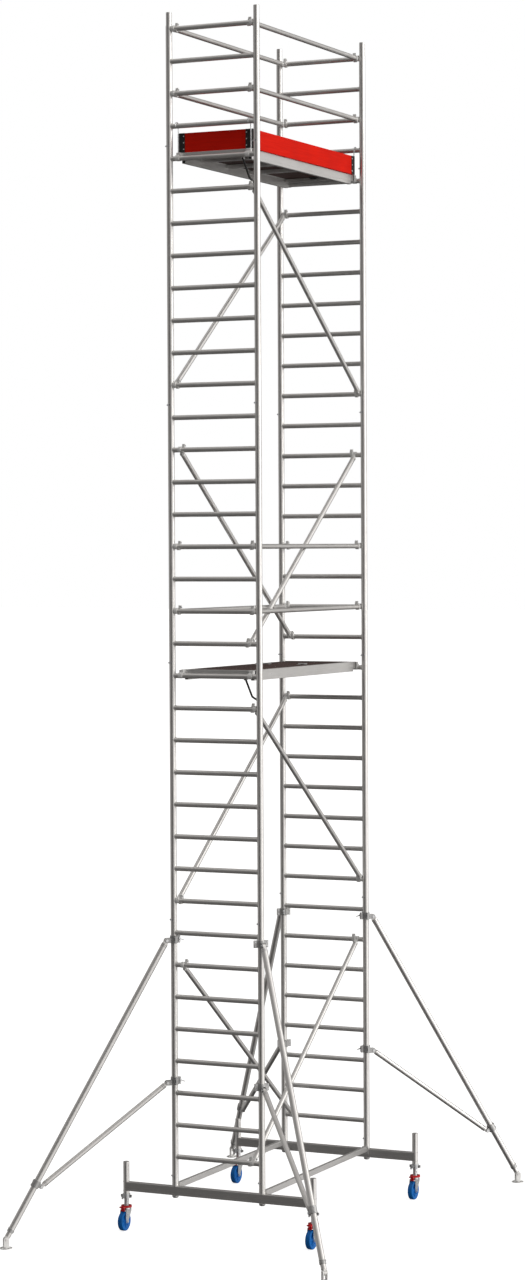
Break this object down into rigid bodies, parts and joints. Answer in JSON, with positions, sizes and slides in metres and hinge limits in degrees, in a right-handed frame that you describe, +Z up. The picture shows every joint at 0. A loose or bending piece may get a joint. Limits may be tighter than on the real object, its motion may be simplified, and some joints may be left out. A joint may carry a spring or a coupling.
{
  "type": "mobile tower scaffold",
  "caption": "Narrow mobile access tower of ladder frames with braces, guard rails, hatch platforms, toe boards, braked castors and folding-out outriggers.",
  "frame": {"origin": "on the floor, in the middle of the tower and of its outrigger feet", "axes": "+Z up, +X along the platforms, +Y across the ladder frames"},
  "size_m": [4.0276, 2.7776, 9.49],
  "materials": {
    "aluminium_tube": "satin drawn tube",
    "aluminium_frame": "satin extrusion",
    "cast_aluminium": "shot-blasted casting",
    "zinc_steel": "bright zinc plate",
    "dark_steel": "black powder coat",
    "deck_ply": "phenolic film faced, anti-slip",
    "toe_board_red": "red painted board",
    "wheel_blue": "moulded, satin",
    "brake_red": "red powder coat"
  },
  "bodies": {
    "tower": {"base_tubes": "aluminium_frame", "braces_left": "aluminium_tube", "braces_right": "aluminium_tube", "chassis_beam_far": "aluminium_frame", "chassis_beam_near": "aluminium_frame", "claw_latches": "cast_aluminium", "far_frame_1": "aluminium_tube", "far_frame_2": "aluminium_tube", "far_frame_3": "aluminium_tube", "far_frame_4": "aluminium_tube", "far_frame_top": "aluminium_tube", "guard_rails": "aluminium_tube", "lower_deck": "deck_ply", "lower_platform_frame": "aluminium_frame", "near_frame_1": "aluminium_tube", "near_frame_2": "aluminium_tube", "near_frame_3": "aluminium_tube", "near_frame_4": "aluminium_tube", "near_frame_top": "aluminium_tube", "spring_clips": "zinc_steel", "toe_board_fittings": "zinc_steel", "toe_boards": "toe_board_red", "upper_deck": "deck_ply", "upper_platform_frame": "aluminium_frame"},
    "nut_1": {"castor_nut_1": "zinc_steel"},
    "spindle_1": {"castor_spindle_1": "zinc_steel"},
    "fork_1": {"castor_fork_1": "zinc_steel"},
    "wheel_1": {"castor_wheel_1": "wheel_blue"},
    "brake_1": {"castor_brake_1": "brake_red"},
    "nut_2": {"castor_nut_2": "zinc_steel"},
    "spindle_2": {"castor_spindle_2": "zinc_steel"},
    "fork_2": {"castor_fork_2": "zinc_steel"},
    "wheel_2": {"castor_wheel_2": "wheel_blue"},
    "brake_2": {"castor_brake_2": "brake_red"},
    "nut_3": {"castor_nut_3": "zinc_steel"},
    "spindle_3": {"castor_spindle_3": "zinc_steel"},
    "fork_3": {"castor_fork_3": "zinc_steel"},
    "wheel_3": {"castor_wheel_3": "wheel_blue"},
    "brake_3": {"castor_brake_3": "brake_red"},
    "nut_4": {"castor_nut_4": "zinc_steel"},
    "spindle_4": {"castor_spindle_4": "zinc_steel"},
    "fork_4": {"castor_fork_4": "zinc_steel"},
    "wheel_4": {"castor_wheel_4": "wheel_blue"},
    "brake_4": {"castor_brake_4": "brake_red"},
    "outrigger_1": {"outrigger_1": "aluminium_tube"},
    "leg_1": {"outrigger_leg_1": "aluminium_tube"},
    "foot_1": {"outrigger_foot_1": "zinc_steel"},
    "outrigger_2": {"outrigger_2": "aluminium_tube"},
    "leg_2": {"outrigger_leg_2": "aluminium_tube"},
    "foot_2": {"outrigger_foot_2": "zinc_steel"},
    "outrigger_3": {"outrigger_3": "aluminium_tube"},
    "leg_3": {"outrigger_leg_3": "aluminium_tube"},
    "foot_3": {"outrigger_foot_3": "zinc_steel"},
    "outrigger_4": {"outrigger_4": "aluminium_tube"},
    "leg_4": {"outrigger_leg_4": "aluminium_tube"},
    "foot_4": {"outrigger_foot_4": "zinc_steel"},
    "lower_hatch": {"lower_hatch": "deck_ply"},
    "lower_lock": {"lower_uplift_lock": "dark_steel"},
    "upper_hatch": {"upper_hatch": "deck_ply"},
    "upper_lock": {"upper_uplift_lock": "dark_steel"}
  },
  "joints": [
    {"name": "nut_turn_1", "type": "hinge", "parent": "tower", "child": "nut_1", "pos_m": [-1, 0.808, 0.267], "axis": [0, 0, 1], "range_deg": [0, 6755]},
    {"name": "castor_height_1", "type": "slide", "parent": "tower", "child": "spindle_1", "axis": [0, 0, -1], "range_m": [0, 0.15]},
    {"name": "castor_swivel_1", "type": "hinge", "parent": "spindle_1", "child": "fork_1", "pos_m": [-1, 0.808, 0.17], "axis": [0, 0, 1], "continuous": true},
    {"name": "wheel_spin_1", "type": "hinge", "parent": "fork_1", "child": "wheel_1", "pos_m": [-1.04, 0.808, 0.075], "axis": [0, 1, 0], "continuous": true},
    {"name": "brake_pedal_1", "type": "hinge", "parent": "fork_1", "child": "brake_1", "pos_m": [-0.954, 0.808, 0.18], "axis": [0, -1, 0], "range_deg": [0, 4]},
    {"name": "nut_turn_2", "type": "hinge", "parent": "tower", "child": "nut_2", "pos_m": [-1, -0.808, 0.267], "axis": [0, 0, 1], "range_deg": [0, 6755]},
    {"name": "castor_height_2", "type": "slide", "parent": "tower", "child": "spindle_2", "axis": [0, 0, -1], "range_m": [0, 0.15]},
    {"name": "castor_swivel_2", "type": "hinge", "parent": "spindle_2", "child": "fork_2", "pos_m": [-1, -0.808, 0.17], "axis": [0, 0, 1], "continuous": true},
    {"name": "wheel_spin_2", "type": "hinge", "parent": "fork_2", "child": "wheel_2", "pos_m": [-1.04, -0.808, 0.075], "axis": [0, 1, 0], "continuous": true},
    {"name": "brake_pedal_2", "type": "hinge", "parent": "fork_2", "child": "brake_2", "pos_m": [-0.954, -0.808, 0.18], "axis": [0, -1, 0], "range_deg": [0, 4]},
    {"name": "nut_turn_3", "type": "hinge", "parent": "tower", "child": "nut_3", "pos_m": [1, 0.808, 0.267], "axis": [0, 0, 1], "range_deg": [0, 6755]},
    {"name": "castor_height_3", "type": "slide", "parent": "tower", "child": "spindle_3", "axis": [0, 0, -1], "range_m": [0, 0.15]},
    {"name": "castor_swivel_3", "type": "hinge", "parent": "spindle_3", "child": "fork_3", "pos_m": [1, 0.808, 0.17], "axis": [0, 0, 1], "continuous": true},
    {"name": "wheel_spin_3", "type": "hinge", "parent": "fork_3", "child": "wheel_3", "pos_m": [0.96, 0.808, 0.075], "axis": [0, 1, 0], "continuous": true},
    {"name": "brake_pedal_3", "type": "hinge", "parent": "fork_3", "child": "brake_3", "pos_m": [1.046, 0.808, 0.18], "axis": [0, -1, 0], "range_deg": [0, 4]},
    {"name": "nut_turn_4", "type": "hinge", "parent": "tower", "child": "nut_4", "pos_m": [1, -0.808, 0.267], "axis": [0, 0, 1], "range_deg": [0, 6755]},
    {"name": "castor_height_4", "type": "slide", "parent": "tower", "child": "spindle_4", "axis": [0, 0, -1], "range_m": [0, 0.15]},
    {"name": "castor_swivel_4", "type": "hinge", "parent": "spindle_4", "child": "fork_4", "pos_m": [1, -0.808, 0.17], "axis": [0, 0, 1], "continuous": true},
    {"name": "wheel_spin_4", "type": "hinge", "parent": "fork_4", "child": "wheel_4", "pos_m": [0.96, -0.808, 0.075], "axis": [0, 1, 0], "continuous": true},
    {"name": "brake_pedal_4", "type": "hinge", "parent": "fork_4", "child": "brake_4", "pos_m": [1.046, -0.808, 0.18], "axis": [0, -1, 0], "range_deg": [0, 4]},
    {"name": "outrigger_swing_1", "type": "hinge", "parent": "tower", "child": "outrigger_1", "pos_m": [-1, 0.375, 1.76], "axis": [0, 0, 1], "range_deg": [-45, 45]},
    {"name": "leg_extend_1", "type": "slide", "parent": "outrigger_1", "child": "leg_1", "axis": [-0.3563, 0.3563, -0.8638], "range_m": [0, 0.25]},
    {"name": "foot_tilt_1", "type": "hinge", "parent": "leg_1", "child": "foot_1", "pos_m": [-1.96379, 1.33879, 0.068], "axis": [-0.7071, -0.7071, 0], "range_deg": [-25, 25]},
    {"name": "outrigger_swing_2", "type": "hinge", "parent": "tower", "child": "outrigger_2", "pos_m": [-1, -0.375, 1.76], "axis": [0, 0, 1], "range_deg": [-45, 45]},
    {"name": "leg_extend_2", "type": "slide", "parent": "outrigger_2", "child": "leg_2", "axis": [-0.3563, -0.3563, -0.8638], "range_m": [0, 0.25]},
    {"name": "foot_tilt_2", "type": "hinge", "parent": "leg_2", "child": "foot_2", "pos_m": [-1.96379, -1.33879, 0.068], "axis": [0.7071, -0.7071, 0], "range_deg": [-25, 25]},
    {"name": "outrigger_swing_3", "type": "hinge", "parent": "tower", "child": "outrigger_3", "pos_m": [1, 0.375, 1.76], "axis": [0, 0, 1], "range_deg": [-45, 45]},
    {"name": "leg_extend_3", "type": "slide", "parent": "outrigger_3", "child": "leg_3", "axis": [0.3563, 0.3563, -0.8638], "range_m": [0, 0.25]},
    {"name": "foot_tilt_3", "type": "hinge", "parent": "leg_3", "child": "foot_3", "pos_m": [1.96379, 1.33879, 0.068], "axis": [-0.7071, 0.7071, 0], "range_deg": [-25, 25]},
    {"name": "outrigger_swing_4", "type": "hinge", "parent": "tower", "child": "outrigger_4", "pos_m": [1, -0.375, 1.76], "axis": [0, 0, 1], "range_deg": [-45, 45]},
    {"name": "leg_extend_4", "type": "slide", "parent": "outrigger_4", "child": "leg_4", "axis": [0.3563, -0.3563, -0.8638], "range_m": [0, 0.25]},
    {"name": "foot_tilt_4", "type": "hinge", "parent": "leg_4", "child": "foot_4", "pos_m": [1.96379, -1.33879, 0.068], "axis": [0.7071, 0.7071, 0], "range_deg": [-25, 25]},
    {"name": "lower_hatch_hinge", "type": "hinge", "parent": "tower", "child": "lower_hatch", "pos_m": [0.25, 0, 4.414], "axis": [0, -1, 0], "range_deg": [0, 95]},
    {"name": "lower_lock_lever", "type": "hinge", "parent": "tower", "child": "lower_lock", "pos_m": [-0.95, -0.232, 4.338], "axis": [0, 1, 0], "range_deg": [0, 45]},
    {"name": "upper_hatch_hinge", "type": "hinge", "parent": "tower", "child": "upper_hatch", "pos_m": [0.25, 0, 8.414], "axis": [0, -1, 0], "range_deg": [0, 95]},
    {"name": "upper_lock_lever", "type": "hinge", "parent": "tower", "child": "upper_lock", "pos_m": [-0.95, -0.232, 8.338], "axis": [0, 1, 0], "range_deg": [0, 45]}
  ],
  "couplings": [
    {"joint": "nut_turn_1", "follows": "castor_height_1", "rad_per_m": 785.4},
    {"joint": "nut_turn_2", "follows": "castor_height_2", "rad_per_m": 785.4},
    {"joint": "nut_turn_3", "follows": "castor_height_3", "rad_per_m": 785.4},
    {"joint": "nut_turn_4", "follows": "castor_height_4", "rad_per_m": 785.4}
  ]
}
